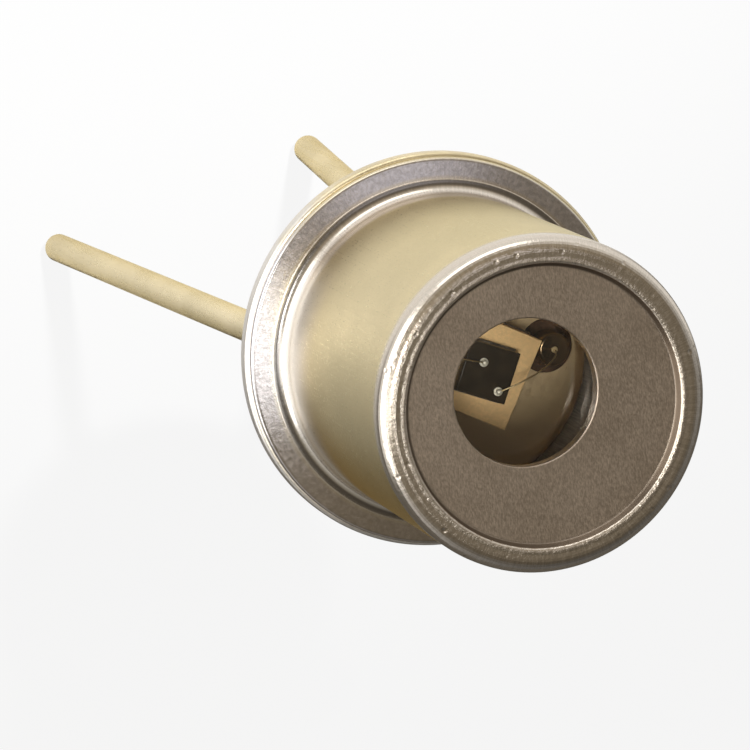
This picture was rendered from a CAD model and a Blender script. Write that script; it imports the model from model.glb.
"""Dresses an ultraviolet photodiode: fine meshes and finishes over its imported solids, and a small studio."""

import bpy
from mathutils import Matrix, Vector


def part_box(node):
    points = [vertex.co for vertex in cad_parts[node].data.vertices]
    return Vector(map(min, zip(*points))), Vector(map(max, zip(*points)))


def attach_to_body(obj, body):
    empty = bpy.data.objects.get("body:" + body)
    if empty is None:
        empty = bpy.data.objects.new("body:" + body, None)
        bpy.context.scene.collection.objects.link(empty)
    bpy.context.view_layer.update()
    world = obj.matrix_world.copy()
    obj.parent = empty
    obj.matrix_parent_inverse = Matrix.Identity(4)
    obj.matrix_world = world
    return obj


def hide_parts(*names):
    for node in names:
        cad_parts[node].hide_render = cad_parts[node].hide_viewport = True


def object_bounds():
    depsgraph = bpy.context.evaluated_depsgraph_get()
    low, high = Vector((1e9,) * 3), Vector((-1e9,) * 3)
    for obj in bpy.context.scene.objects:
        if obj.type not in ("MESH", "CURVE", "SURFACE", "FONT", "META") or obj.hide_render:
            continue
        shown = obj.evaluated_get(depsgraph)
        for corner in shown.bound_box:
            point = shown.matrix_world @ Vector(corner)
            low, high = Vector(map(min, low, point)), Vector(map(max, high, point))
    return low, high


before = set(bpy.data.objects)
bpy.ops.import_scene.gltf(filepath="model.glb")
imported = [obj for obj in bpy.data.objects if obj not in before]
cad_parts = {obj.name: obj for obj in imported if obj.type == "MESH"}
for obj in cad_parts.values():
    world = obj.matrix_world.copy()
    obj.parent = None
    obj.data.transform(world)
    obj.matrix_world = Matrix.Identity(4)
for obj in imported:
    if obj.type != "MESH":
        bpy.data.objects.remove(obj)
CAD_BOX = [list(corner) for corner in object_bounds()]

import math
from types import SimpleNamespace

import bmesh
import bpy
from bpy.props import FloatProperty, FloatVectorProperty, IntProperty, PointerProperty
from bpy.types import Operator, Panel, PropertyGroup
from mathutils import Euler, Matrix, Vector

bl_info = {
    "name": "Metal-can photodiode",
    "version": (1, 0, 0),
    "blender": (4, 5, 0),
    "location": "View3D > Sidebar > Photodiode",
    "description": "Builds a small ultraviolet photodiode in a flanged metal can, and a studio",
    "category": "Mesh",
}


# Sizes and colours


def length(name, description, default):
    """A length in metres."""
    return FloatProperty(name=name, description=description, default=default, unit="LENGTH", precision=6)


def angle(name, description, degrees):
    """An angle, given in degrees."""
    return FloatProperty(name=name, description=description, default=math.radians(degrees), subtype="ANGLE")


def colour(name, description, default):
    """A linear colour."""
    return FloatVectorProperty(
        name=name, description=description, default=default, subtype="COLOR", size=3, min=0.0, max=1.0
    )


class CanSizes(PropertyGroup):
    radius: length("Barrel radius", "Outside radius of the drawn barrel", 2.35e-3)
    top: length("Height", "Height of the front rim above the seating plane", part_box("cap")[1].z)
    sheet: length("Sheet", "Thickness of the drawn sheet", 0.2e-3)
    shoulder: length("Shoulder", "Radius round the front shoulder", 0.22e-3)
    foot: length("Foot fillet", "Radius between the barrel and its flange", 0.185e-3)
    ring: length("Ring width", "Width of the raised ring round the barrel's foot", 0.2e-3)
    ring_fall: length("Ring fall", "Outward fall across that ring", 0.0126e-3)
    land_dip: length("Land dip", "Depth of the weld land outside the ring", 0.03e-3)
    land_fall: length("Land fall", "Outward fall across the weld land", 0.042e-3)
    mouth: length("Mouth", "Radius inside the mouth, where the sheet turns outward", 0.12e-3)
    flange: length("Flange radius", "Radius of the can's weld flange", 2.86e-3)
    flange_edge: length("Flange edge", "Rounding of the flange's upper edge", 0.06e-3)
    fine_edge: length("Fine edge", "Rounding of the ring's and the flange's cut edges", 0.012e-3)
    rim: length("Rim width", "Flat width of the raised rim round the face", 0.14e-3)
    dip: length("Face dip", "Depth of the face below the rim", 0.12e-3)
    slope: length("Slope width", "Width of the slope from the rim down to the face", 0.06e-3)
    rim_edge: length("Rim edge", "Rounding between the rim and that slope", 0.05e-3)
    inner_edge: length("Inner corner", "Rounding inside, between the barrel and the face", 0.06e-3)
    burr: length("Edge softness", "Small rounding of the face and aperture edges", 0.02e-3)
    aperture: length("Aperture radius", "Radius of the light aperture", 1.03e-3)
    aperture_x: length("Aperture X", "Shift of the aperture off the axis along X", -0.21e-3)
    aperture_y: length("Aperture Y", "Shift of the aperture off the axis along Y", 0.22e-3)


class WindowSizes(PropertyGroup):
    radius: length("Glass radius", "Radius of the glass disc", 1.95e-3)
    thickness: length("Glass thickness", "Thickness of the glass disc", 0.5e-3)
    edge: length("Glass edge", "Rounding of the glass disc's edges", 0.03e-3)
    frit: length("Frit thickness", "Thickness of the bond ring on the glass", 0.06e-3)
    frit_edge: length("Frit edge", "Rounding of the bond ring's edges", 0.027e-3)
    frit_width: length("Frit width", "Radial width of the bond ring", 0.4e-3)


class HeaderSizes(PropertyGroup):
    radius: length("Flange radius", "Radius of the header's weld flange", 2.92e-3)
    thickness: length("Flange thickness", "Thickness of the header's weld flange", 0.27e-3)
    edge: length("Flange edge", "Rounding of the flange edges", 0.07e-3)
    platform: length("Platform radius", "Radius of the raised platform", 1.9e-3)
    platform_top: length("Platform height", "Height of the platform's top", 1.35e-3)
    platform_edge: length("Platform edge", "Rounding of the platform's upper edge", 0.2e-3)
    platform_foot: length("Platform foot", "Fillet round the platform's foot", 0.03e-3)
    tab_width: length("Tab width", "Width of the index tab", 1.04e-3)
    tab_reach: length("Tab reach", "Reach of the index tab beyond the flange", 0.85e-3)
    tab_edge: length("Tab edge", "Rounding of the index tab's outer edges", 0.035e-3)
    tab_turn: angle("Tab direction", "Direction of the index tab from the signal lead", -45)


class LeadSizes(PropertyGroup):
    circle: length("Lead circle", "Radius of the circle that the leads stand on", 1.27e-3)
    radius: length("Lead radius", "Radius of the lead wire", 0.24e-3)
    reach: length("Lead reach", "Reach of the leads below the seating plane", 14e-3)
    tip: length("Tip rounding", "Rounding of the lead tips", 0.17e-3)
    stub: length("Straight stub", "Straight length before the leads lean out", 0.4e-3)
    bend: length("Bend radius", "Radius of the bend where the leads lean out", 1.2e-3)
    lean: angle("Lean", "Lean of both leads off the axis", 5.5)
    signal_turn: angle("Signal lean direction", "Direction in which the signal lead leans", 48)
    case_turn: angle("Case lean direction", "Direction in which the case lead leans", 170)
    case_root: angle("Case root direction", "Direction of the case lead's root", 184)
    weld: length("Weld", "Width and height of the weld at the case lead's root", 0.12e-3)
    weld_gap: length("Weld clearance", "Clearance round that weld in its recess", 0.04e-3)
    post: length("Post height", "Height of the signal lead's post above the platform", 0.4e-3)
    post_edge: length("Post edge", "Rounding of the post's top", 0.05e-3)
    bead: length("Bead radius", "Radius of the glass bead round the signal lead", 0.4e-3)
    bead_dip: length("Bead dip", "Depth of the bead's ends below the header's faces", 0.05e-3)
    bead_rise: length("Bead rise", "Rise of the bead's ends along the lead and the hole", 0.03e-3)
    sides: IntProperty(name="Sides", description="Sides round each lead", default=48, min=12, max=96)


class ChipSizes(PropertyGroup):
    submount: length("Submount width", "Width of the square submount", 1.39e-3)
    submount_t: length("Submount thickness", "Thickness of the submount", 0.635e-3)
    submount_edge: length("Submount edge", "Rounding of the submount's edges", 0.014e-3)
    die: length("Die width", "Width of the square die", 0.76e-3)
    die_t: length("Die thickness", "Thickness of the die", 0.31e-3)
    die_edge: length("Die edge", "Rounding of the die's edges", 0.005e-3)
    border: length("Die border", "Width of the thin raised border on the die", 0.022e-3)
    border_slope: length("Border slope", "Width of the slope inside that border", 0.004e-3)
    border_dip: length("Border dip", "Depth of the die's face below its border", 0.003e-3)
    attach_t: length("Attach thickness", "Thickness of each attach layer", 0.03e-3)
    attach_lip: length("Attach lip", "Lip of each attach layer beyond the piece on it", 0.03e-3)
    attach_edge: length("Attach edge", "Rounding of the attach layers' edges", 0.012e-3)
    turn: angle("Submount turn", "Turn of the submount about the axis", -33)
    die_turn: angle("Die turn", "Turn of the die on its submount", 5)
    x: length("Chip X", "Shift of the chip along X", 0.07e-3)
    y: length("Chip Y", "Shift of the chip along Y", 0.02e-3)
    pad: length("Contact radius", "Radius of the contacts on the die", 0.065e-3)
    pad_t: length("Contact thickness", "Thickness of the contacts", 0.02e-3)
    pad_edge: length("Contact edge", "Rounding of the contacts' upper edge", 0.008e-3)
    signal_in: length("Signal contact inset", "Inset of the signal contact from the die's corner", 0.155e-3)
    case_in: length("Case contact shift", "Shift of the case contact from the die's centre", 0.115e-3)


class WireSizes(PropertyGroup):
    radius: length("Wire radius", "Radius of the bond wires", 0.0125e-3)
    ball: length("Ball radius", "Radius of the ball at the start of each wire", 0.045e-3)
    ball_rise: length("Ball rise", "Height of the ball's centre above its contact", 0.0225e-3)
    foot: length("Foot radius", "Radius of the flattened foot of each wire", 0.05e-3)
    foot_t: length("Foot thickness", "Thickness of that foot", 0.02e-3)
    foot_edge: length("Foot edge", "Rounding of the foot's upper edge", 0.01e-3)
    leave: angle("Leaving angle", "Angle above level at which each wire leaves its ball", 25)
    case_at: length("Case foot distance", "Distance of the case wire's foot from the axis", 1.35e-3)
    case_turn: angle("Case foot direction", "Direction of the case wire's foot", 150)
    sides: IntProperty(name="Sides", description="Sides round each wire", default=12, min=6, max=32)


class Finishes(PropertyGroup):
    barrel: colour("Barrel", "Pale gold tone of the drawn barrel", (0.76, 0.66, 0.47))
    barrel_edge: colour("Barrel gleam", "Tint of the barrel's grazing gleam", (0.92, 0.87, 0.66))
    straw: colour("Straw", "Deeper gold on the lower side of the can", (0.73, 0.53, 0.21))
    straw_edge: colour("Straw gleam", "Tint of the grazing gleam on that side", (0.90, 0.72, 0.40))
    rim: colour("Rim", "Silver tone of the shoulder, rim and flange", (0.76, 0.68, 0.58))
    rim_edge: colour("Rim gleam", "Tint of the silver's grazing gleam", (0.96, 0.95, 0.93))
    weld: colour("Weld land", "Faint purple heat tint of the weld land", (0.68, 0.65, 0.67))
    face: colour("Face", "Warm grey tone of the sunk face", (0.53, 0.443, 0.356))
    inside: colour("Can inside", "Dull tone of the can's inside", (0.80, 0.74, 0.66))
    header: colour("Header", "Gold plating of the header", (0.82, 0.70, 0.45))
    platform: colour("Platform", "Browner gold of the platform inside", (0.56, 0.42, 0.24))
    worn: colour("Worn plating", "Silver where the flanges and the foot are worn", (0.78, 0.74, 0.68))
    lead: colour("Leads", "Pale gold plating of the leads", (0.96, 0.87, 0.67))
    lead_edge: colour("Lead gleam", "Tint of the leads' grazing gleam", (0.82, 0.70, 0.42))
    post: colour("Post", "Brown-gold of the polished post inside", (0.24, 0.165, 0.09))
    bead: colour("Bead glass", "Dark brown of the fused bead", (0.035, 0.018, 0.010))
    glass: colour("Window glass", "Tint of the window", (0.97, 0.98, 0.98))
    glass_shade: colour("Window shade", "Tint of lamplight that passes the window", (0.93, 0.94, 0.94))
    frit: colour("Frit", "Grey of the window's bond ring", (0.10, 0.09, 0.08))
    attach: colour("Attach", "Dull solder under the chips", (0.36, 0.32, 0.26))
    submount: colour("Submount", "Tan gold of the submount", (0.75, 0.50, 0.23))
    die: colour("Die", "Near-black of the die", (0.016, 0.011, 0.006))
    pad: colour("Contacts", "Bright metal of the contacts", (0.75, 0.70, 0.56))
    wire: colour("Bond wires", "Gold of the bond wires", (0.45, 0.34, 0.18))
    floor: colour("Floor", "Plain pale floor", (0.35, 0.35, 0.35))
    sky_low: colour("Low sky", "Sky near the horizon", (1.0, 1.0, 1.0))
    sky_high: colour("High sky", "Sky overhead", (0.325, 0.28, 0.215))


class StageSizes(PropertyGroup):
    floor_gap: length("Floor gap", "Gap between the lead tips and the floor", 0.15e-3)
    floor_half: length("Floor half-width", "Half the floor's width", 0.6)


class PhotodiodeSettings(PropertyGroup):
    can: PointerProperty(type=CanSizes)
    window: PointerProperty(type=WindowSizes)
    header: PointerProperty(type=HeaderSizes)
    leads: PointerProperty(type=LeadSizes)
    chip: PointerProperty(type=ChipSizes)
    wires: PointerProperty(type=WireSizes)
    finish: PointerProperty(type=Finishes)
    stage: PointerProperty(type=StageSizes)


def sizes():
    """All the groups of sizes and colours."""
    return bpy.context.scene.photodiode


# Outlines and meshes

UP = Vector((0, 0, 1))
QUARTER = math.pi / 2
AROUND = 192  # sides round the can and the header
NEAR = 0.006e-3  # how near to its ends a straight run has its extra points
LONG = 6 * NEAR  # the least run that gets them
CUT_EDGE = 0.002e-3  # rounding of the lower edge of contacts and wire feet
TINY = 1e-9  # a length that counts as none


def corner(r, z, fillet=0.0, zone=0, shift=0.0):
    """A corner of an outline; shift is its share of the ring's move off the axis."""
    return r, z, fillet, zone, shift


def fillet_arc(before, at, after, radius, steps):
    """Points of the arc that rounds the corner at a point between its neighbours."""
    back = (before - at).normalized()
    on = (after - at).normalized()
    half = math.acos(max(-1.0, min(1.0, back.dot(on)))) / 2
    centre = at + (back + on).normalized() * (radius / math.sin(half))
    start = at + back * (radius / math.tan(half)) - centre
    stop = at + on * (radius / math.tan(half)) - centre
    turn = start.angle_signed(stop)
    return [centre + Matrix.Rotation(-turn * k / steps, 2) @ start for k in range(steps + 1)]


def rounded(corners, closed=False, steps=9):
    """Outline with its corners filleted, as (r, z, zone, shift) points.

    The zone is the finish of the fillet and of the straight run after it. Each straight run has a point near
    both its ends, so that smooth shading bends only at the fillets.
    """
    spots = [Vector(c[:2]) for c in corners]
    points = []
    for i, (_, _, fillet, zone, shift) in enumerate(corners):
        arc = [spots[i]]
        if fillet > 0:
            arc = fillet_arc(spots[i - 1], spots[i], spots[(i + 1) % len(spots)], fillet, steps)
        points.extend((spot, zone, shift) for spot in arc)
    out = []
    following = points[1:] + (points[:1] if closed else [])
    for (a, zone, shift), (b, _, shift_b) in zip(points, following):
        out.append((a.x, a.y, zone, shift))
        if (b - a).length > LONG:
            step = (b - a).normalized() * NEAR
            out.append((a.x + step.x, a.y + step.y, zone, shift))
            out.append((b.x - step.x, b.y - step.y, zone, shift_b))
    if not closed:
        end, zone, shift = points[-1]
        out.append((end.x, end.y, zone, shift))
    return out


def lathe(bm, outline, closed=False, around=AROUND, shift=(0.0, 0.0), place=Matrix.Identity(4)):
    """Revolves an outline about Z into bm, moves its shifted rings off the axis, and puts it in place."""
    turns = [2 * math.pi * k / around for k in range(around)]
    rings = []
    for r, z, _, share in outline:
        x, y = shift[0] * share, shift[1] * share
        spots = [(x, y, z)]
        if r > TINY:
            spots = [(x + r * math.cos(a), y + r * math.sin(a), z) for a in turns]
        rings.append([bm.verts.new(place @ Vector(spot)) for spot in spots])
    faces = []
    following = rings[1:] + (rings[:1] if closed else [])
    for a, b, (_, _, zone, _) in zip(rings, following, outline):
        for k in range(around):
            square = (a[k % len(a)], a[(k + 1) % len(a)], b[(k + 1) % len(b)], b[k % len(b)])
            verts = list(dict.fromkeys(square))
            if len(verts) > 2:
                face = bm.faces.new(verts)
                face.material_index = zone
                faces.append(face)
    bmesh.ops.recalc_face_normals(bm, faces=faces)


def block(size, centre):
    """Box of a size about a centre."""
    bm = bmesh.new()
    bmesh.ops.create_cube(bm, size=1.0)
    fit = Matrix.Translation(centre) @ Matrix.Diagonal((*size, 1.0))
    bmesh.ops.transform(bm, matrix=fit, verts=bm.verts)
    return bm


def soften(bm, edges, radius, steps):
    """Rounds edges of bm."""
    bmesh.ops.bevel(bm, geom=edges, offset=radius, segments=steps, profile=0.5, affect="EDGES")


def plate(width, thickness, edge, steps=3):
    """Square plate that stands on the origin, with its edges rounded."""
    bm = block((width, width, thickness), (0, 0, thickness / 2))
    soften(bm, bm.edges[:], edge, steps)
    return bm


def plain_mesh(bm, name):
    """Turns bm into a mesh."""
    mesh = bpy.data.meshes.new(name)
    bm.to_mesh(mesh)
    bm.free()
    return mesh


def smooth_mesh(bm, name, crease=40):
    """Turns bm into a smooth-shaded mesh with edges sharper than crease degrees kept sharp."""
    mesh = plain_mesh(bm, name)
    mesh.shade_smooth()
    mesh.set_sharp_from_angle(angle=math.radians(crease))
    return mesh


def add_object(name, data):
    """New object in the scene."""
    made = bpy.data.objects.new(name, data)
    bpy.context.scene.collection.objects.link(made)
    return made


def add_piece(name, mesh, makers, node):
    """Adds a finished mesh as a piece that stands for a CAD node and rides on the part's one body."""
    for maker in makers:
        mesh.materials.append(finish(maker))
    piece = add_object(name, mesh)
    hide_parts(node)
    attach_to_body(piece, "root")


def add_turned(name, outline, maker, node, slot, crease=40, **turning):
    """Adds a piece of one finish that is turned from an outline."""
    bm = bmesh.new()
    lathe(bm, outline, **turning)
    add_piece(name, smooth_mesh(bm, name, crease), [maker], node)


def drop(thing):
    """Removes an object and its mesh."""
    mesh = thing.data
    bpy.data.objects.remove(thing)
    bpy.data.meshes.remove(mesh)


def applied(thing, modifier):
    """New mesh with the result of an object's modifier, which is then removed."""
    bpy.context.view_layer.update()
    seen = thing.evaluated_get(bpy.context.evaluated_depsgraph_get())
    mesh = bpy.data.meshes.new_from_object(seen)
    thing.modifiers.remove(modifier)
    return mesh


def loose_object(name, bm):
    """Plain object from bm, such as the tool of a boolean."""
    return add_object(name, plain_mesh(bm, name))


def cut_or_join(target, tool, operation):
    """Applies one exact boolean of tool to target's mesh and removes tool."""
    change = target.modifiers.new("shape", "BOOLEAN")
    change.operation = operation
    change.solver = "EXACT"
    change.object = tool
    old = target.data
    target.data = applied(target, change)
    bpy.data.meshes.remove(old)
    drop(tool)


def on_circle(radius, turn):
    """Point on a circle about the axis, in the seating plane."""
    return Vector((math.cos(turn), math.sin(turn), 0)) * radius


# Sweeps by Geometry Nodes


def sweep_tree():
    """Node tree that sweeps a round wire along the vertices of its input, each with its own wire_radius."""
    if "round wire sweep" in bpy.data.node_groups:
        return bpy.data.node_groups["round wire sweep"]
    tree = bpy.data.node_groups.new("round wire sweep", "GeometryNodeTree")
    face = tree.interface
    face.new_socket("Geometry", in_out="INPUT", socket_type="NodeSocketGeometry")
    face.new_socket("Sides", in_out="INPUT", socket_type="NodeSocketInt").default_value = 24
    face.new_socket("Finish", in_out="INPUT", socket_type="NodeSocketMaterial")
    face.new_socket("Geometry", in_out="OUTPUT", socket_type="NodeSocketGeometry")
    start = tree.nodes.new("NodeGroupInput")
    end = tree.nodes.new("NodeGroupOutput")
    curve = tree.nodes.new("GeometryNodeMeshToCurve")
    read = tree.nodes.new("GeometryNodeInputNamedAttribute")
    read.data_type = "FLOAT"
    read.inputs["Name"].default_value = "wire_radius"
    ring = tree.nodes.new("GeometryNodeCurvePrimitiveCircle")
    ring.inputs["Radius"].default_value = 1.0
    tube = tree.nodes.new("GeometryNodeCurveToMesh")
    tube.inputs["Fill Caps"].default_value = True
    radius = tree.nodes.new("GeometryNodeSetCurveRadius")
    smooth = tree.nodes.new("GeometryNodeSetShadeSmooth")
    real = tree.nodes.new("GeometryNodeRealizeInstances")
    skin = tree.nodes.new("GeometryNodeSetMaterial")
    for giver, result, taker, entry in (
        (start, "Geometry", curve, "Mesh"),
        (curve, "Curve", radius, "Curve"),
        (read, "Attribute", radius, "Radius"),
        (start, "Sides", ring, "Resolution"),
        (radius, "Curve", tube, "Curve"),
        (ring, "Curve", tube, "Profile Curve"),
        (read, "Attribute", tube, "Scale"),
        (tube, "Mesh", smooth, "Geometry"),
        (smooth, "Geometry", real, "Geometry"),
        (real, "Geometry", skin, "Geometry"),
        (start, "Finish", skin, "Material"),
        (skin, "Geometry", end, "Geometry"),
    ):
        tree.links.new(giver.outputs[result], taker.inputs[entry])
    return tree


def swept(name, route, sides, maker):
    """Closed tube along a route of (point, radius), as loose mesh work."""
    mesh = bpy.data.meshes.new(name + "_route")
    mesh.from_pydata([spot for spot, _ in route], [(i, i + 1) for i in range(len(route) - 1)], [])
    thickness = mesh.attributes.new("wire_radius", "FLOAT", "POINT")
    thickness.data.foreach_set("value", [r for _, r in route])
    carrier = add_object(name + "_route", mesh)
    sweep = carrier.modifiers.new("sweep", "NODES")
    sweep.node_group = sweep_tree()
    inputs = {"Sides": sides, "Finish": finish(maker)}
    for item in sweep.node_group.interface.items_tree:
        if item.in_out == "INPUT" and item.name in inputs:
            sweep[item.identifier] = inputs[item.name]
    tube = applied(carrier, sweep)
    drop(carrier)
    if not tube.polygons:
        raise RuntimeError("the sweep of " + name + " came out empty")
    bm = bmesh.new()
    bm.from_mesh(tube)
    bpy.data.meshes.remove(tube)
    bmesh.ops.remove_doubles(bm, verts=bm.verts, dist=TINY)
    bmesh.ops.recalc_face_normals(bm, faces=bm.faces)
    return bm


# Node helpers

MIX_A, MIX_B, MIX_OUT = 6, 7, 2  # the colour sockets of a Mix node
MIDDLE = (0.3, 0.7)  # where most of a noise pattern's values lie


class Nodes:
    """A node tree that is filled by short calls, most of which give back the socket of their result."""

    def __init__(self, tree):
        self.tree = tree

    def add(self, kind, inputs=None, **settings):
        """New node with its settings and inputs, each a value or a socket to link."""
        node = self.tree.nodes.new(kind)
        for key, value in settings.items():
            setattr(node, key, value)
        for key, value in (inputs or {}).items():
            self.set(node.inputs[key], value)
        return node

    def set(self, socket, value):
        """Links a socket or gives it a value."""
        if isinstance(value, bpy.types.NodeSocket):
            self.tree.links.new(value, socket)
        elif socket.type == "RGBA" and len(value) == 3:
            socket.default_value = (*value, 1.0)
        else:
            socket.default_value = value

    def math(self, operation, a, *others):
        """One operation on two values, or on more in turn."""
        for b in others or (0.0,):
            a = self.add("ShaderNodeMath", {0: a, 1: b}, operation=operation).outputs[0]
        return a

    def times(self, *values):
        return self.math("MULTIPLY", *values)

    def plus(self, *values):
        return self.math("ADD", *values)

    def most(self, *values):
        return self.math("MAXIMUM", *values)

    def place(self):
        """Object coordinates."""
        return self.add("ShaderNodeTexCoord").outputs["Object"]

    def parts(self, vector):
        """The X, Y and Z of a vector."""
        return self.add("ShaderNodeSeparateXYZ", {"Vector": vector}).outputs[:3]

    def height(self):
        return self.parts(self.place())[2]

    def far(self):
        """Distance from the axis."""
        x, y, _ = self.parts(self.place())
        return self.math("SQRT", self.plus(self.times(x, x), self.times(y, y)))

    def turn(self):
        """Direction round the axis."""
        x, y, _ = self.parts(self.place())
        return self.math("ARCTAN2", y, x)

    def facing(self, degrees):
        """1 on the side that faces a direction round the axis, and -1 opposite."""
        return self.math("COSINE", self.math("SUBTRACT", self.turn(), math.radians(degrees)))

    def pair(self, x, y):
        """Vector of two values."""
        return self.add("ShaderNodeCombineXYZ", {"X": x, "Y": y}).outputs[0]

    def stretched(self, scale, degrees=0.0):
        """Object coordinates, turned about Z and scaled."""
        turn = (0.0, 0.0, math.radians(degrees))
        inputs = {"Vector": self.place(), "Scale": scale, "Rotation": turn}
        return self.add("ShaderNodeMapping", inputs).outputs[0]

    def noise(self, scale, detail=3.0, rough=0.55, at=None):
        inputs = {"Vector": at or self.place(), "Scale": scale, "Detail": detail, "Roughness": rough}
        return self.add("ShaderNodeTexNoise", inputs).outputs["Fac"]

    def cells(self, scale):
        """Distance from the nearest of many scattered points."""
        inputs = {"Vector": self.place(), "Scale": scale}
        return self.add("ShaderNodeTexVoronoi", inputs).outputs["Distance"]

    def ramp(self, value, low, high, low_to=0.0, high_to=1.0):
        """Smooth step of a value from low_to at low to high_to at high."""
        inputs = {"Value": value, "From Min": low, "From Max": high, "To Min": low_to, "To Max": high_to}
        return self.add("ShaderNodeMapRange", inputs, interpolation_type="SMOOTHSTEP").outputs["Result"]

    def mix(self, amount, a, b):
        """Colour a, or b by an amount."""
        node = self.add("ShaderNodeMix", {"Factor": amount, MIX_A: a, MIX_B: b}, data_type="RGBA")
        return node.outputs[MIX_OUT]

    def toned(self, pattern, rgb, dark, light, span=MIDDLE):
        """A colour that varies between a darker and a lighter shade with a pattern."""
        return self.mix(self.ramp(pattern, *span), shade(rgb, dark), shade(rgb, light))

    def bump(self, height, distance, strength):
        inputs = {"Height": height, "Strength": strength, "Distance": distance}
        return self.add("ShaderNodeBump", inputs).outputs["Normal"]


class Paint(Nodes):
    """A material's nodes, which end in its principled shader."""

    def __init__(self, name):
        self.material = bpy.data.materials.new(name)
        self.material.use_nodes = True
        super().__init__(self.material.node_tree)
        self.shader = self.tree.nodes["Principled BSDF"]

    def look(self, **sockets):
        """Sets the shader's sockets and gives back the material."""
        for key, value in sockets.items():
            self.set(self.shader.inputs[key.replace("_", " ")], value)
        return self.material

    def grained(self, tone, grain, roughness, depth, strength, **sockets):
        """Look whose roughness and height both follow one grain."""
        return self.look(
            Base_Color=tone,
            Roughness=self.ramp(grain, *MIDDLE, *roughness),
            Normal=self.bump(grain, depth, strength),
            **sockets,
        )

    def cover(self, amount, other):
        """Lays another shader over the principled one by an amount."""
        both = self.add("ShaderNodeMixShader", {0: amount, 1: self.shader.outputs[0], 2: other.outputs[0]})
        self.set(self.tree.nodes["Material Output"].inputs["Surface"], both.outputs[0])
        return self.material


def shade(rgb, factor):
    """A colour made darker or lighter."""
    return tuple(min(1.0, c * factor) for c in rgb)


def finish(maker):
    """The material of a maker function, made once."""
    key = "photodiode_" + maker.__name__
    kept = bpy.context.scene.get(key)
    if kept is None:
        kept = maker()
        bpy.context.scene[key] = kept
    return kept


# Finishes

# Each pair below is where a zone of a finish begins and where it is full. Heights above the seating plane end
# in Z and distances from the axis in R, both in metres. A SPAN is of the cosine from a SIDE, in degrees.
SHOULDER_Z = (4.88e-3, 5.06e-3)
RIM_Z = (5.1e-3, 5.2e-3)
RIM_R = (2.02e-3, 2.15e-3)
SLOPE_Z = (5.17e-3, 5.19e-3)
SLOPE_R = (2.08e-3, 2.02e-3)
FACE_CORNER_R = (1.90e-3, 1.95e-3)
FOOT_Z = (1.9e-3, 0.8e-3)
FOOT_SPAN = (0.3, 0.65)
FLANGE_Z = (1.0e-3, 0.8e-3)
FLANGE_R = (2.36e-3, 2.42e-3)
FLANGE_EDGE_R = (2.855e-3, 2.815e-3)
GROOVE_IN_R = (2.44e-3, 2.48e-3)
GROOVE_OUT_R = (2.545e-3, 2.525e-3)
WELD_R = (2.56e-3, 2.62e-3)
WORN_SIDE = 200
WORN_SPAN = (0.1, 0.5)
LOWER_SIDE = 258
LOWER_SPAN = (0.2, 0.9)
PLATFORM_Z = (0.3e-3, 0.6e-3)
HEADER_EDGE_R = (2.8e-3, 2.88e-3)
HEADER_WORN_SPAN = (0.0, 0.5)
POST_Z = (0.4e-3, 0.9e-3)
FLOOR_CLEAR_R = (0.02, 0.04)
FLOOR_BEHIND_Y = (-0.015, 0.002)
FLOOR_SKEW = 0.35  # slant of that line at negative X
FLOOR_GLOW = 0.9  # share of white over the floor's own shading


def can_zones(p):
    """Masks of the zones on the can's skin, each 1 inside its zone."""
    far, z = p.far(), p.height()
    side = p.facing(WORN_SIDE)
    worn = p.ramp(side, *WORN_SPAN)
    top = p.ramp(z, *SHOULDER_Z)
    low = p.times(p.ramp(z, *FLANGE_Z), p.most(p.ramp(far, *FLANGE_EDGE_R), worn))
    foot = p.times(p.ramp(z, *FOOT_Z), p.ramp(side, *FOOT_SPAN))
    return SimpleNamespace(
        worn=worn,
        top=top,
        low=low,
        foot=foot,
        silver=p.most(top, low, foot),
        bright=p.most(top, p.times(low, p.ramp(far, *FLANGE_R))),
        below=p.ramp(p.facing(LOWER_SIDE), *LOWER_SPAN),
        weld=p.times(p.ramp(far, *WELD_R), low),
        groove=p.times(p.ramp(far, *GROOVE_IN_R), p.ramp(far, *GROOVE_OUT_R), low),
        rim=p.times(p.ramp(far, *RIM_R), p.ramp(z, *RIM_Z)),
        slope=p.times(p.ramp(far, *SLOPE_R), p.ramp(z, *SLOPE_Z)),
    )


def can_grains(p):
    """Patterns on the can's skin: drawing lines, brushing, fine grain, clouds and ragged wear."""
    turn = p.turn()
    return SimpleNamespace(
        drawn=p.noise(3.0, 4.0, at=p.pair(p.times(turn, 40.0), p.times(p.height(), 900.0))),
        brushed=p.noise(2.0, 5.0, 0.7, at=p.pair(p.times(turn, 60.0), p.times(p.far(), 1500.0))),
        fine=p.noise(26000.0),
        cloud=p.noise(900.0),
        ragged=p.noise(15000.0, 2.0),
        specks=p.ramp(p.cells(4600.0), 0.03, 0.24, 1.0, 0.0),
    )


def can_tone(p, zone, grain):
    """Colour of the can's skin: gold barrel, silver rim, weld tint, worn foot and dark groove."""
    f = sizes().finish
    gold = p.toned(grain.cloud, f.barrel, 0.94, 1.04, span=(0.35, 0.7))
    gold = p.mix(p.ramp(grain.fine, 0.35, 0.75, 0.0, 0.4), gold, shade(f.barrel, 0.86))
    gold = p.mix(zone.below, gold, f.straw)
    plain = p.toned(grain.brushed, f.rim, 0.88, 1.05, span=(0.35, 0.7))
    plain = p.mix(zone.foot, plain, f.worn)
    tint = p.toned(grain.ragged, f.weld, 0.82, 1.08, span=(0.32, 0.7))
    plain = p.mix(p.times(zone.weld, 0.85), plain, tint)
    plain = p.mix(p.times(zone.below, zone.low, 0.25), plain, f.straw)
    plain = p.mix(p.times(zone.groove, 0.75), plain, shade(f.weld, 0.25))
    return p.mix(zone.silver, gold, plain)


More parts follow.
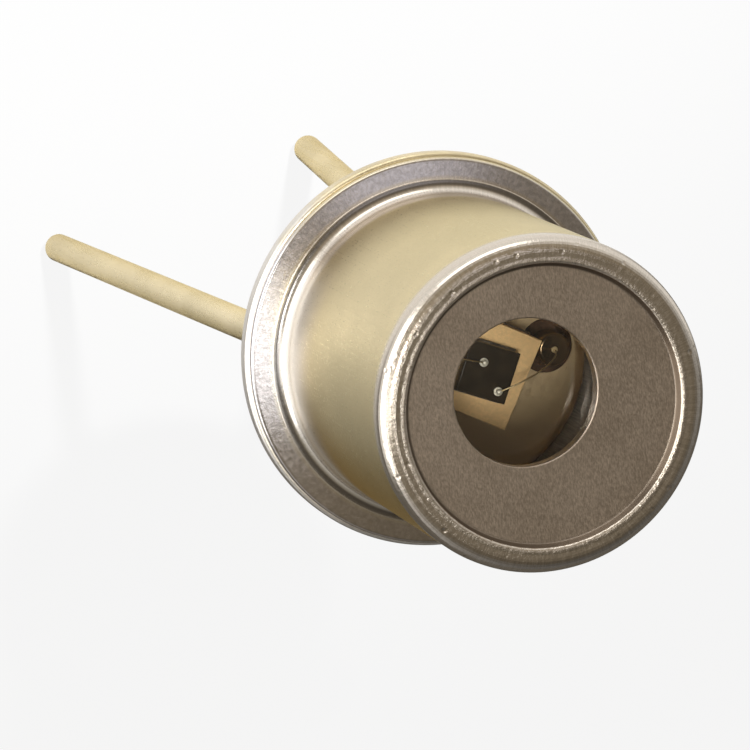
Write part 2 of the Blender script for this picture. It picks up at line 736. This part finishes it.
def can_relief(p, zone, grain):
    """Height of the can's skin: fine grain, dents on the rim, and rougher work at the shoulder and weld."""
    dents = p.times(grain.specks, zone.rim, p.most(p.ramp(grain.cloud, 0.42, 0.62), zone.worn))
    worked = p.plus(
        p.times(zone.slope, 6.0), p.times(zone.top, 2.2), p.times(p.most(zone.weld, zone.foot), 0.28)
    )
    return p.plus(
        p.times(grain.fine, 0.45),
        p.times(grain.drawn, 0.2),
        p.times(grain.brushed, zone.silver, 0.25),
        p.times(dents, -6.5),
        p.times(grain.ragged, worked),
    )


def can_plating():
    """Drawn barrel in satin pale gold, turning to silver on the shoulder and on the weld-tinted flange."""
    f = sizes().finish
    p = Paint("can_plating")
    zone = can_zones(p)
    grain = can_grains(p)
    rough = p.plus(
        p.ramp(zone.bright, 0.0, 1.0, 0.31, 0.19),
        p.ramp(grain.brushed, 0.3, 0.75, -0.03, 0.04),
        p.ramp(grain.fine, *MIDDLE, -0.03, 0.04),
        p.times(zone.slope, 0.12),
    )
    gleam = p.mix(zone.below, f.barrel_edge, f.straw_edge)
    return p.look(
        Base_Color=can_tone(p, zone, grain),
        Metallic=1.0,
        Roughness=rough,
        Specular_Tint=p.mix(zone.silver, gleam, f.rim_edge),
        Normal=p.bump(can_relief(p, zone, grain), 3e-6, 0.5),
    )


def can_face():
    """Sunk face with a fine straight grain and a dark corner."""
    f = sizes().finish
    p = Paint("can_face")
    streaks = p.noise(52000.0, 3.0, 0.65, at=p.stretched((1.0, 0.36, 1.0), 9.4))
    mottle = p.noise(9000.0, 4.0, 0.65)
    cloud = p.noise(1300.0, 2.0)
    tone = p.toned(streaks, f.face, 0.84, 1.24, span=(0.3, 0.72))
    tone = p.mix(p.ramp(mottle, 0.35, 0.75, 0.0, 0.3), tone, shade(f.face, 0.82))
    tone = p.mix(p.ramp(p.far(), *FACE_CORNER_R), tone, shade(f.face, 0.4))
    rough = p.plus(p.ramp(streaks, *MIDDLE, 0.30, 0.37), p.ramp(cloud, *MIDDLE, -0.02, 0.02))
    height = p.plus(streaks, p.times(mottle, 0.6))
    return p.look(Base_Color=tone, Metallic=1.0, Roughness=rough, Normal=p.bump(height, 1.5e-6, 0.4))


def can_inside():
    """Dull unplated inside of the can."""
    p = Paint("can_inside")
    drawn = p.noise(3.0, 4.0, at=p.pair(p.times(p.turn(), 30.0), p.times(p.height(), 600.0)))
    tone = p.toned(drawn, sizes().finish.inside, 0.8, 1.15)
    return p.grained(tone, drawn, roughness=(0.42, 0.55), depth=3e-6, strength=0.5)


def header_plating():
    """Gold plating over a stamped header, with faint turning rings, cloudy tone and a worn edge."""
    f = sizes().finish
    p = Paint("header_plating")
    far = p.far()
    rings = p.noise(3.0, 4.0, at=p.pair(p.times(far, 14000.0), p.times(p.turn(), 0.8)))
    cloud = p.noise(1600.0)
    grain = p.noise(30000.0)
    tone = p.toned(cloud, f.header, 0.88, 1.05)
    tone = p.mix(p.ramp(p.height(), *PLATFORM_Z), tone, f.platform)
    side = p.plus(p.facing(WORN_SIDE), p.ramp(cloud, *MIDDLE, -0.2, 0.2))
    tone = p.mix(p.times(p.ramp(side, *HEADER_WORN_SPAN), p.ramp(far, *HEADER_EDGE_R)), tone, f.worn)
    rough = p.plus(p.ramp(grain, *MIDDLE, 0.30, 0.42), p.ramp(rings, *MIDDLE, -0.03, 0.03))
    height = p.plus(p.times(rings, 0.5), p.times(grain, 0.5))
    return p.look(Base_Color=tone, Metallic=1.0, Roughness=rough, Normal=p.bump(height, 2.5e-6, 0.5))


def lead_plating():
    """Pale gold plating on drawn wire with fine streaks along it, browner and polished on the post inside."""
    f = sizes().finish
    p = Paint("lead_plating")
    inside = p.ramp(p.height(), *POST_Z)
    streaks = p.noise(16000.0, 4.0, 0.6, at=p.stretched((1.0, 1.0, 0.03)))
    cloud = p.noise(1100.0)
    grain = p.noise(28000.0, 2.0)
    tone = p.toned(cloud, f.lead, 0.92, 1.04)
    tone = p.mix(p.ramp(streaks, 0.45, 0.8, 0.0, 0.1), tone, shade(f.lead, 0.88))
    tone = p.mix(inside, tone, f.post)
    rough = p.plus(p.ramp(streaks, *MIDDLE, 0.26, 0.36), p.ramp(grain, *MIDDLE, -0.03, 0.03))
    height = p.plus(streaks, p.times(grain, 0.4))
    return p.look(
        Base_Color=tone,
        Metallic=1.0,
        Roughness=p.times(rough, p.ramp(inside, 0.0, 1.0, 1.0, 0.5)),
        Specular_Tint=f.lead_edge,
        Normal=p.bump(height, 2e-6, 0.1),
    )


def bead_glass():
    """Dark fused glass with small bubbles under its skin."""
    p = Paint("bead_glass")
    swirl = p.noise(5200.0)
    bubbles = p.ramp(p.cells(14000.0), 0.08, 0.2)
    return p.look(
        Base_Color=p.toned(swirl, sizes().finish.bead, 0.7, 1.8, span=(0.35, 0.7)),
        Roughness=p.ramp(swirl, *MIDDLE, 0.06, 0.14),
        Normal=p.bump(bubbles, 2e-6, 0.4),
        IOR=1.52,
    )


def window_glass():
    """Clear polished window that lets the lamps reach the chip."""
    f = sizes().finish
    p = Paint("window_glass")
    p.look(Base_Color=f.glass, Roughness=0.0, Transmission_Weight=1.0, IOR=1.46)
    clear = p.add("ShaderNodeBsdfTransparent", {"Color": f.glass_shade})
    return p.cover(p.add("ShaderNodeLightPath").outputs["Is Shadow Ray"], clear)


def window_frit():
    """Matt fired frit."""
    p = Paint("fired_frit")
    grit = p.noise(22000.0, 4.0, 0.65)
    tone = p.toned(grit, sizes().finish.frit, 0.7, 1.3)
    return p.grained(tone, grit, roughness=(0.6, 0.8), depth=5e-6, strength=0.6)


def attach_solder():
    """Dull solder squeezed out under a chip."""
    p = Paint("attach_solder")
    grit = p.noise(18000.0, 4.0, 0.6)
    tone = p.toned(grit, sizes().finish.attach, 0.75, 1.2)
    return p.grained(tone, grit, roughness=(0.38, 0.55), depth=4e-6, strength=0.6, Metallic=1.0)


def submount_gold():
    """Matt gold over ceramic, with a fine sintered grain."""
    f = sizes().finish
    p = Paint("submount_gold")
    grit = p.noise(24000.0, 3.0, 0.6)
    tone = p.toned(grit, f.submount, 0.88, 1.06)
    tone = p.mix(p.ramp(p.noise(2600.0, 2.0), *MIDDLE, 0.0, 0.25), tone, shade(f.submount, 0.82))
    return p.grained(tone, grit, roughness=(0.5, 0.62), depth=3e-6, strength=0.5, Metallic=0.55)


def die_dark():
    """Polished dark semiconductor with faint saw marks and a slight sheen."""
    p = Paint("die_dark")
    sawn = p.noise(30000.0, at=p.stretched((1.0, 0.05, 1.0), 33))
    tone = p.toned(p.noise(3000.0, 2.0), sizes().finish.die, 0.8, 1.5, span=(0.35, 0.7))
    return p.grained(tone, sawn, roughness=(0.16, 0.26), depth=1e-6, strength=0.3, Specular_IOR_Level=0.25)


def contact_metal():
    """Bright contact metal with a probed, slightly rough face."""
    p = Paint("contact_metal")
    grit = p.noise(45000.0, 3.0, 0.6)
    tone = p.toned(grit, sizes().finish.pad, 0.8, 1.1)
    return p.grained(tone, grit, roughness=(0.4, 0.55), depth=3e-6, strength=0.6, Metallic=0.6)


def wire_gold():
    """Soft drawn gold."""
    p = Paint("wire_gold")
    grain = p.noise(60000.0)
    tone = p.toned(grain, sizes().finish.wire, 0.9, 1.05)
    return p.grained(tone, grain, roughness=(0.36, 0.48), depth=8e-7, strength=0.4, Metallic=1.0)


def pale_floor():
    """Floor that is white to the camera and through glass, but mirrors dimly near and before the part."""
    rgb = sizes().finish.floor
    p = Paint("pale_floor")
    path = p.add("ShaderNodeLightPath").outputs
    x, y, _ = p.parts(p.place())
    behind = p.math("SUBTRACT", y, p.times(p.math("MINIMUM", x, 0.0), FLOOR_SKEW))
    mirrored = p.times(
        p.ramp(p.far(), *FLOOR_CLEAR_R, 0.02, 1.0), p.ramp(behind, *FLOOR_BEHIND_Y, 0.03, 1.0)
    )
    glossy = p.times(path["Is Glossy Ray"], mirrored)
    seen = p.most(path["Is Camera Ray"], path["Is Transmission Ray"], glossy)
    p.look(Base_Color=p.toned(p.noise(700.0), rgb, 0.985, 1.0), Roughness=0.85, Specular_IOR_Level=0.1)
    glow = p.add("ShaderNodeEmission", {"Color": (1.0, 1.0, 1.0), "Strength": 1.0})
    return p.cover(p.times(seen, FLOOR_GLOW), glow)


# Can and window


def under_face():
    """Height of the underside of the can's face."""
    c = sizes().can
    return c.top - c.dip - c.sheet


def can_outline():
    """Half section of the drawn sheet, from the aperture out, down to the flange and back inside."""
    s = sizes()
    c, seat = s.can, s.header.thickness
    skin, face, inner = 0, 1, 2
    flange_top = seat + c.sheet
    face_z = c.top - c.dip
    under_z = under_face()
    bore = c.radius - c.sheet
    rim_in = c.radius - c.shoulder - c.rim
    ring_r = c.radius + c.ring
    land_z = flange_top - c.land_dip
    return rounded(
        [
            corner(c.aperture, face_z, c.burr, face, 1.0),
            corner(rim_in - c.slope, face_z, c.burr, face),
            corner(rim_in, c.top, c.rim_edge, skin),
            corner(c.radius, c.top, c.shoulder, skin),
            corner(c.radius, flange_top, c.foot, skin),
            corner(ring_r, flange_top - c.ring_fall, c.fine_edge, skin),
            corner(ring_r, land_z, c.fine_edge / 2, skin),
            corner(c.flange, land_z - c.land_fall, c.flange_edge, skin),
            corner(c.flange, seat, c.fine_edge, skin),
            corner(bore, seat, c.mouth, inner),
            corner(bore, under_z, c.inner_edge, inner),
            corner(c.aperture, under_z, c.burr, face, 1.0),
        ],
        closed=True,
    )


class PHOTODIODE_OT_can(Operator):
    """Build the drawn can: flange, barrel, shoulder, rim, sunk face and off-centre aperture"""

    bl_idname = "photodiode.can"
    bl_label = "Can"

    def execute(self, context):
        c = sizes().can
        bm = bmesh.new()
        lathe(bm, can_outline(), closed=True, shift=(c.aperture_x, c.aperture_y))
        add_piece("can", smooth_mesh(bm, "can"), [can_plating, can_face, can_inside], "cap")
        return {"FINISHED"}


def disc_outline(radius, low, high, low_edge, high_edge):
    """Half section of a round disc with its edges rounded."""
    return rounded(
        [
            corner(0.0, low),
            corner(radius, low, low_edge),
            corner(radius, high, high_edge),
            corner(0.0, high),
        ],
        steps=4,
    )


class PHOTODIODE_OT_window(Operator):
    """Build the glass window and the frit ring that bonds it behind the face"""

    bl_idname = "photodiode.window"
    bl_label = "Window"

    def execute(self, context):
        w = sizes().window
        around = 128
        frit_top = under_face()
        top = frit_top - w.frit
        glass = disc_outline(w.radius, top - w.thickness, top, w.edge, w.edge)
        add_turned("window_glass", glass, window_glass, "window", "window_glass", around=around)
        inner = w.radius - w.frit_width
        spots = ((inner, top), (w.radius, top), (w.radius, frit_top), (inner, frit_top))
        ring = rounded([corner(r, z, w.frit_edge) for r, z in spots], closed=True, steps=5)
        add_turned("window_frit_ring", ring, window_frit, "window_frit", "frit", closed=True, around=around)
        return {"FINISHED"}


# Header and leads


def header_outline():
    """Half section of the header: weld flange and raised platform."""
    h = sizes().header
    return rounded(
        [
            corner(0.0, 0.0),
            corner(h.radius, 0.0, h.edge),
            corner(h.radius, h.thickness, h.edge),
            corner(h.platform, h.thickness, h.platform_foot),
            corner(h.platform, h.platform_top, h.platform_edge),
            corner(0.0, h.platform_top),
        ]
    )


def index_tab():
    """Index tab, from inside the flange to its rounded outer end."""
    h = sizes().header
    start = (h.platform + h.radius) / 2
    reach = h.radius + h.tab_reach - start
    bm = block((reach, h.tab_width, h.thickness), (start + reach / 2, 0, h.thickness / 2))
    outer = [e for e in bm.edges if min(v.co.x for v in e.verts) > start + reach / 2]
    soften(bm, outer, h.tab_edge, steps=4)
    bmesh.ops.transform(bm, matrix=Matrix.Rotation(h.tab_turn, 4, "Z"), verts=bm.verts)
    return bm


def lead_roots():
    """Where the signal lead and the case lead stand in the seating plane."""
    leads = sizes().leads
    return on_circle(leads.circle, 0.0), on_circle(leads.circle, leads.case_root)


class PHOTODIODE_OT_header(Operator):
    """Build the header: weld flange, platform, index tab, lead hole and weld recess"""

    bl_idname = "photodiode.header"
    bl_label = "Header"

    def execute(self, context):
        s = sizes()
        leads = s.leads
        past = 0.1e-3  # how far the cutters go beyond the faces
        bm = bmesh.new()
        lathe(bm, header_outline())
        body = loose_object("header_body", bm)
        cut_or_join(body, loose_object("header_tab", index_tab()), "UNION")
        signal, case = lead_roots()
        for name, root, r, top in (
            ("lead_hole", signal, leads.bead, s.header.platform_top + past),
            ("weld_recess", case, leads.radius + leads.weld + leads.weld_gap, leads.weld),
        ):
            bm = bmesh.new()
            pin = [(r_at, z, 0, 0.0) for r_at, z in ((0.0, -past), (r, -past), (r, top), (0.0, top))]
            lathe(bm, pin, around=64, place=Matrix.Translation(root))
            cut_or_join(body, loose_object(name, bm), "DIFFERENCE")
        bm = bmesh.new()
        bm.from_mesh(body.data)
        drop(body)
        mesh = smooth_mesh(bm, "header_base", crease=28)
        add_piece("header_base", mesh, [header_plating], "header")
        return {"FINISHED"}


def quarter(steps):
    """Angles over a quarter turn."""
    return [QUARTER * k / steps for k in range(steps + 1)]


def post_crown():
    """Heights and radii over the rounded top of the signal lead's post."""
    s = sizes()
    leads, edge = s.leads, s.leads.post_edge
    top = s.header.platform_top + leads.post
    return [(top - edge * (1 - math.cos(a)), leads.radius - edge * (1 - math.sin(a))) for a in quarter(6)]


def weld_flare():
    """Heights and radii down the hollow flare of the weld at the case lead's root."""
    leads = sizes().leads
    ups = [1 - math.sin(a) for a in quarter(8)]
    return [(leads.weld * up, leads.radius + leads.weld * (1 - math.sqrt(1 - up * up))) for up in ups]


def lead_route(root, turn, crown):
    """Points and radii down a lead: crown, straight stub, bend, lean and rounded tip."""
    leads = sizes().leads
    stub_steps, bend_steps, run_steps, tip_steps = 5, 10, 40, 10
    out = on_circle(1.0, turn)
    route = [(root + UP * z, r) for z, r in crown]
    stub_top = crown[-1][0]
    for k in range(1, stub_steps + 1):
        z = stub_top - (leads.stub + stub_top) * k / stub_steps
        route.append((root + UP * z, leads.radius))
    for k in range(1, bend_steps + 1):
        a = leads.lean * k / bend_steps
        step = out * (leads.bend * (1 - math.cos(a))) - UP * (leads.stub + leads.bend * math.sin(a))
        route.append((root + step, leads.radius))
    start = route[-1][0]
    way = out * math.sin(leads.lean) - UP * math.cos(leads.lean)
    run = (leads.reach - leads.stub - leads.bend * math.sin(leads.lean)) / math.cos(leads.lean)
    straight = run - leads.tip
    for k in range(1, run_steps + 1):
        route.append((start + way * (straight * k / run_steps), leads.radius))
    for a in quarter(tip_steps)[1:]:
        spot = start + way * (straight + leads.tip * math.sin(a))
        route.append((spot, leads.radius - leads.tip * (1 - math.cos(a))))
    return route


def bead_outline():
    """Half section of the glass bead, whose ends rise along the lead and the hole."""
    s = sizes()
    leads = s.leads
    steps = 12
    low, high = leads.bead_dip, s.header.platform_top - leads.bead_dip
    middle = (leads.radius + leads.bead) / 2
    radii = [leads.radius + (leads.bead - leads.radius) * k / steps for k in range(steps + 1)]
    climbs = [(r, leads.bead_rise * ((r - middle) / (leads.bead - middle)) ** 2) for r in radii]
    under = [(r, low - climb, 0, 0.0) for r, climb in climbs]
    over = [(r, high + climb, 0, 0.0) for r, climb in reversed(climbs)]
    return under + over


class PHOTODIODE_OT_leads(Operator):
    """Sweep the two leads and fuse the glass bead round the signal lead"""

    bl_idname = "photodiode.leads"
    bl_label = "Leads"

    def execute(self, context):
        leads = sizes().leads
        signal, case = lead_roots()
        for name, node, root, turn, crown in (
            ("signal_lead_wire", "signal_lead", signal, leads.signal_turn, post_crown()),
            ("case_lead_wire", "case_lead", case, leads.case_turn, weld_flare()),
        ):
            bm = swept(name, lead_route(root, turn, crown), leads.sides, lead_plating)
            add_piece(name, smooth_mesh(bm, name), [lead_plating], node)
        add_turned(
            "glass_bead", bead_outline(), bead_glass, "lead_bead", "bead_glass",
            crease=60, closed=True, around=64, place=Matrix.Translation(signal),
        )
        return {"FINISHED"}


# Chip and bond wires


def stack_heights():
    """Height at which each layer of the chip's stack stands, by its node's name, and of the stack's top."""
    s = sizes()
    c = s.chip
    heights = {}
    z = s.header.platform_top
    for layer, thickness in (
        ("submount_attach", c.attach_t),
        ("submount", c.submount_t),
        ("die_attach", c.attach_t),
        ("die", c.die_t),
        ("pad", c.pad_t),
    ):
        heights[layer] = z
        z += thickness
    heights["top"] = z
    return heights


def chip_place(z, on_die=True):
    """Where the die's own axes lie at a height, or the submount's."""
    c = sizes().chip
    turn = c.turn + (c.die_turn if on_die else 0.0)
    return Matrix.Translation((c.x, c.y, z)) @ Matrix.Rotation(turn, 4, "Z")


def contact_spots():
    """Centres of the signal and case contacts, in the die's own axes."""
    c = sizes().chip
    return {
        "signal": Vector((c.die / 2 - c.signal_in, c.signal_in - c.die / 2, 0)),
        "case": Vector((-c.case_in, c.case_in, 0)),
    }


def add_die(z):
    """Adds the die, with a thin raised border round its face."""
    c = sizes().chip
    bm = plate(c.die, c.die_t, c.die_edge, steps=2)
    lid = max(bm.faces, key=lambda f: f.calc_center_median().z)
    bmesh.ops.inset_region(bm, faces=[lid], thickness=c.border, depth=0.0)
    bmesh.ops.inset_region(bm, faces=[lid], thickness=c.border_slope, depth=-c.border_dip)
    bmesh.ops.transform(bm, matrix=chip_place(z), verts=bm.verts)
    add_piece("die_chip", smooth_mesh(bm, "die_chip", crease=30), [die_dark], "die")


class PHOTODIODE_OT_chip(Operator):
    """Build the submount, the die, the attach layers under them and the two contacts"""

    bl_idname = "photodiode.chip"
    bl_label = "Chip"

    def execute(self, context):
        c = sizes().chip
        stack = stack_heights()
        lip = 2 * c.attach_lip
        for name, node, slot, maker, width, thickness, edge in (
            ("submount_solder", "submount_attach", "attach", attach_solder,
             c.submount + lip, c.attach_t, c.attach_edge),
            ("submount_plate", "submount", "submount_gold", submount_gold,
             c.submount, c.submount_t, c.submount_edge),
            ("die_solder", "die_attach", "attach", attach_solder,
             c.die + lip, c.attach_t, c.attach_edge),
        ):
            bm = plate(width, thickness, edge)
            place = chip_place(stack[node], on_die=node == "die_attach")
            bmesh.ops.transform(bm, matrix=place, verts=bm.verts)
            add_piece(name, smooth_mesh(bm, name), [maker], node)
        add_die(stack["die"])
        outline = disc_outline(c.pad, 0.0, c.pad_t, CUT_EDGE, c.pad_edge)
        for key, spot in contact_spots().items():
            place = chip_place(stack["pad"]) @ Matrix.Translation(spot)
            add_turned(key + "_contact", outline, contact_metal, key + "_pad", "pad", around=40, place=place)
        return {"FINISHED"}


def wire_arc(start, end, steps=32):
    """Points of the upright arc from start over to end, which leaves start at the wires' leaving angle."""
    leave = sizes().wires.leave
    along = Vector((end.x - start.x, end.y - start.y, 0))
    drop_z = start.z - end.z
    fall = math.atan2(drop_z, along.length)
    half = fall + leave
    radius = math.hypot(along.length, drop_z) / 2 / math.sin(half)
    along.normalize()
    back = along * math.sin(fall) + UP * math.cos(fall)
    centre = (start + end) / 2 - back * (radius * math.cos(half))
    first = QUARTER - fall + half
    turns = [first - 2 * half * k / steps for k in range(steps + 1)]
    return [centre + (along * math.cos(a) + UP * math.sin(a)) * radius for a in turns]


def ball_outline(z, zone, steps=12):
    """Half section of a wire's ball, flat where it sits on its contact at a height."""
    w = sizes().wires
    low = -math.asin(w.ball_rise / w.ball)
    points = [(0.0, z, zone, 0.0)]
    for k in range(steps):
        a = low + (QUARTER - low) * k / steps
        points.append((w.ball * math.cos(a), z + w.ball_rise + w.ball * math.sin(a), zone, 0.0))
    points.append((0.0, z + w.ball_rise + w.ball, zone, 0.0))
    return points


class PHOTODIODE_OT_wires(Operator):
    """Sweep the two bond wires, each from a ball on its contact over to a flattened foot"""

    bl_idname = "photodiode.wires"
    bl_label = "Bond wires"

    def execute(self, context):
        s = sizes()
        w, platform = s.wires, s.header.platform_top
        ball_finish = 1
        around = 28
        pad_top = stack_heights()["top"]
        for key, foot, z in (
            ("signal", lead_roots()[0], platform + s.leads.post),
            ("case", on_circle(w.case_at, w.case_turn), platform),
        ):
            name = key + "_bond_wire"
            at = chip_place(0.0) @ contact_spots()[key]
            points = wire_arc(at + UP * (pad_top + w.ball_rise), foot + UP * (z + w.foot_t / 2))
            bm = swept(name, [(spot, w.radius) for spot in points], w.sides, wire_gold)
            lathe(bm, ball_outline(pad_top, ball_finish), around=around, place=Matrix.Translation(at))
            flat = disc_outline(w.foot, z, z + w.foot_t, CUT_EDGE, w.foot_edge)
            lathe(bm, flat, around=around, place=Matrix.Translation(foot))
            add_piece(name, smooth_mesh(bm, name), [wire_gold, contact_metal], key + "_wire")
        return {"FINISHED"}


# Stage

INNER_PIECES = (
    "header_base", "glass_bead", "signal_lead_wire", "submount_solder", "submount_plate", "die_solder",
    "die_chip", "signal_contact", "case_contact", "signal_bond_wire", "case_bond_wire",
)
LAMP_TARGET = Vector((0, 0, 0.0026))

# Each lamp's name, direction from the target, distance, width, depth, watts and colour
LAMPS = (
    ("chip_lamp", (-0.255, 0.0, 0.967), 0.20, 0.034, 0.026, 0.24, (1.0, 0.97, 0.93)),
    ("key_lamp", (-0.33, 0.1, 0.94), 0.20, 0.034, 0.034, 0.05, (1.0, 0.98, 0.95)),
    ("side_lamp", (-0.94, 0.15, 0.20), 0.15, 0.23, 0.14, 0.19, (1.0, 1.0, 1.0)),
    ("foot_lamp", (-0.54, -0.04, 0.84), 0.20, 0.06, 0.14, 0.038, (1.0, 1.0, 1.0)),
    ("top_lamp", (-0.05, 0.95, 0.25), 0.15, 0.12, 0.05, 0.03, (0.97, 0.98, 1.0)),
    ("rim_lamp", (-0.01, -0.14, 0.99), 0.20, 0.028, 0.042, 0.0092, (1.0, 1.0, 1.0)),
    ("overhead_lamp", (0.22, 0.16, 0.96), 0.20, 0.06, 0.05, 0.0055, (0.86, 0.88, 1.0)),
)

# Spot lamp for the floor alone: direction, middle of its pool, distance, watts, cone in degrees, soft edges
POOL_WAY = (0.1, 0.3, 0.95)
POOL_CENTRE = (0.001, 0.0215)
POOL_DISTANCE = 0.20
POOL_WATTS = 4.3
POOL_CONE = 14.4
POOL_BLEND = 0.35
POOL_SOFTNESS = 0.006

# Sky: its light along a direction, from before the part to behind it, and the heights where its colour turns
SKY_WAY = (-0.4, 0.9, 0.0)
SKY_SPAN = (-0.9, 0.3)
SKY_LEVELS = (0.14, 1.0)
SKY_LOW, SKY_HIGH = 0.15, 0.7

# Camera: place in metres, turn in degrees, lens and sensor in millimetres
EYE_PLACE = (-0.01827135, 0.01437915, 0.06662697)
EYE_TURN = (-9.474945, -16.306224, -9.361817)
EYE_LENS = 230.4
EYE_SENSOR = 36.0


def lay_floor(z):
    """Adds the floor at a height."""
    bm = bmesh.new()
    bmesh.ops.create_grid(bm, x_segments=8, y_segments=8, size=sizes().stage.floor_half)
    bmesh.ops.transform(bm, matrix=Matrix.Translation((0, 0, z)), verts=bm.verts)
    floor = loose_object("floor", bm)
    floor.data.materials.append(pale_floor())
    return floor


def lit_group(name, things, state):
    """Collection that keeps a lamp to some things, or off them."""
    group = bpy.data.collections.new(name)
    for i, thing in enumerate(things):
        group.objects.link(thing)
        group.collection_objects[i].light_linking.link_state = state
    return group


def hang(lamp, way, distance, target, group):
    """Hangs a lamp at a distance from its target, turned towards it, to light one group."""
    back = Vector(way).normalized()
    stand = add_object(lamp.name, lamp)
    stand.location = target + back * distance
    stand.rotation_euler = (-back).to_track_quat("-Z", "Y").to_euler()
    stand.light_linking.receiver_collection = group


def hang_lamps(floor, floor_z):
    """Hangs the lamps: one for the chip behind the window, one for the floor, the rest for the part."""
    inner = [bpy.data.objects[name] for name in INNER_PIECES]
    behind_window = lit_group("behind the window", inner, "INCLUDE")
    all_but_floor = lit_group("all but the floor", [floor], "EXCLUDE")
    floor_only = lit_group("floor only", [floor], "INCLUDE")
    for name, way, distance, width, depth, watts, tone in LAMPS:
        lamp = bpy.data.lights.new(name, "AREA")
        lamp.shape = "RECTANGLE"
        lamp.size = width
        lamp.size_y = depth
        lamp.energy = watts
        lamp.color = tone
        hang(lamp, way, distance, LAMP_TARGET, behind_window if name == "chip_lamp" else all_but_floor)
    pool = bpy.data.lights.new("floor_lamp", "SPOT")
    pool.energy = POOL_WATTS
    pool.spot_size = math.radians(POOL_CONE)
    pool.spot_blend = POOL_BLEND
    pool.shadow_soft_size = POOL_SOFTNESS
    hang(pool, POOL_WAY, POOL_DISTANCE, Vector((*POOL_CENTRE, floor_z)), floor_only)


def set_sky(scene):
    """Soft sky, brighter behind the part than before it and warmer overhead."""
    f = sizes().finish
    world = scene.world or bpy.data.worlds.new("studio")
    scene.world = world
    world.use_nodes = True
    world.node_tree.nodes.clear()
    n = Nodes(world.node_tree)
    way = n.add("ShaderNodeTexCoord").outputs["Generated"]
    fade = n.add("ShaderNodeValToRGB", {"Fac": n.parts(way)[2]})
    for stop, position, rgb in zip(fade.color_ramp.elements, (SKY_LOW, SKY_HIGH), (f.sky_low, f.sky_high)):
        stop.position = position
        stop.color = (*rgb, 1.0)
    along = n.add("ShaderNodeVectorMath", {0: way, 1: SKY_WAY}, operation="DOT_PRODUCT").outputs["Value"]
    inputs = {"Value": along, "From Min": SKY_SPAN[0], "From Max": SKY_SPAN[1]}
    inputs.update({"To Min": SKY_LEVELS[0], "To Max": SKY_LEVELS[1]})
    strength = n.add("ShaderNodeMapRange", inputs).outputs["Result"]
    sky = n.add("ShaderNodeBackground", {"Color": fade.outputs["Color"], "Strength": strength})
    n.add("ShaderNodeOutputWorld", {"Surface": sky.outputs[0]})


def set_camera(scene):
    """Camera at the photograph's viewing angle."""
    eye = bpy.data.cameras.new("eye")
    eye.lens = EYE_LENS
    eye.sensor_width = EYE_SENSOR
    eye.clip_start = 0.002
    eye.clip_end = 10.0
    camera = add_object("eye", eye)
    camera.location = EYE_PLACE
    camera.rotation_euler = Euler([math.radians(a) for a in EYE_TURN], "XYZ")
    scene.camera = camera
    scene.view_settings.view_transform = "Standard"


class PHOTODIODE_OT_stage(Operator):
    """Lay the pale floor and set the lamps, the sky and the camera"""

    bl_idname = "photodiode.stage"
    bl_label = "Stage"

    def execute(self, context):
        floor_z = CAD_BOX[0][2] - sizes().stage.floor_gap
        hang_lamps(lay_floor(floor_z), floor_z)
        set_sky(context.scene)
        set_camera(context.scene)
        return {"FINISHED"}


# Panel and registration

STEPS = (
    PHOTODIODE_OT_can,
    PHOTODIODE_OT_window,
    PHOTODIODE_OT_header,
    PHOTODIODE_OT_leads,
    PHOTODIODE_OT_chip,
    PHOTODIODE_OT_wires,
    PHOTODIODE_OT_stage,
)


class PHOTODIODE_PT_build(Panel):
    """Lists the building steps, the sizes and the colours"""

    bl_idname = "PHOTODIODE_PT_build"
    bl_label = "Metal-can photodiode"
    bl_space_type = "VIEW_3D"
    bl_region_type = "UI"
    bl_category = "Photodiode"

    def draw(self, context):
        for step in STEPS:
            self.layout.operator(step.bl_idname)
        settings = context.scene.photodiode
        for group in settings.bl_rna.properties:
            if group.type != "POINTER" or group.identifier == "rna_type":
                continue
            box = self.layout.box()
            box.label(text=group.identifier.capitalize())
            values = getattr(settings, group.identifier)
            for item in values.bl_rna.properties:
                if item.identifier not in {"rna_type", "name"}:
                    box.prop(values, item.identifier)


CLASSES = (
    CanSizes,
    WindowSizes,
    HeaderSizes,
    LeadSizes,
    ChipSizes,
    WireSizes,
    Finishes,
    StageSizes,
    PhotodiodeSettings,
    *STEPS,
    PHOTODIODE_PT_build,
)


def register():
    for cls in CLASSES:
        bpy.utils.register_class(cls)
    bpy.types.Scene.photodiode = PointerProperty(type=PhotodiodeSettings)


def unregister():
    del bpy.types.Scene.photodiode
    for cls in reversed(CLASSES):
        bpy.utils.unregister_class(cls)


def main():
    register()
    bpy.ops.photodiode.can()
    bpy.ops.photodiode.window()
    bpy.ops.photodiode.header()
    bpy.ops.photodiode.leads()
    bpy.ops.photodiode.chip()
    bpy.ops.photodiode.wires()
    bpy.ops.photodiode.stage()


if __name__ == "__main__":
    main()
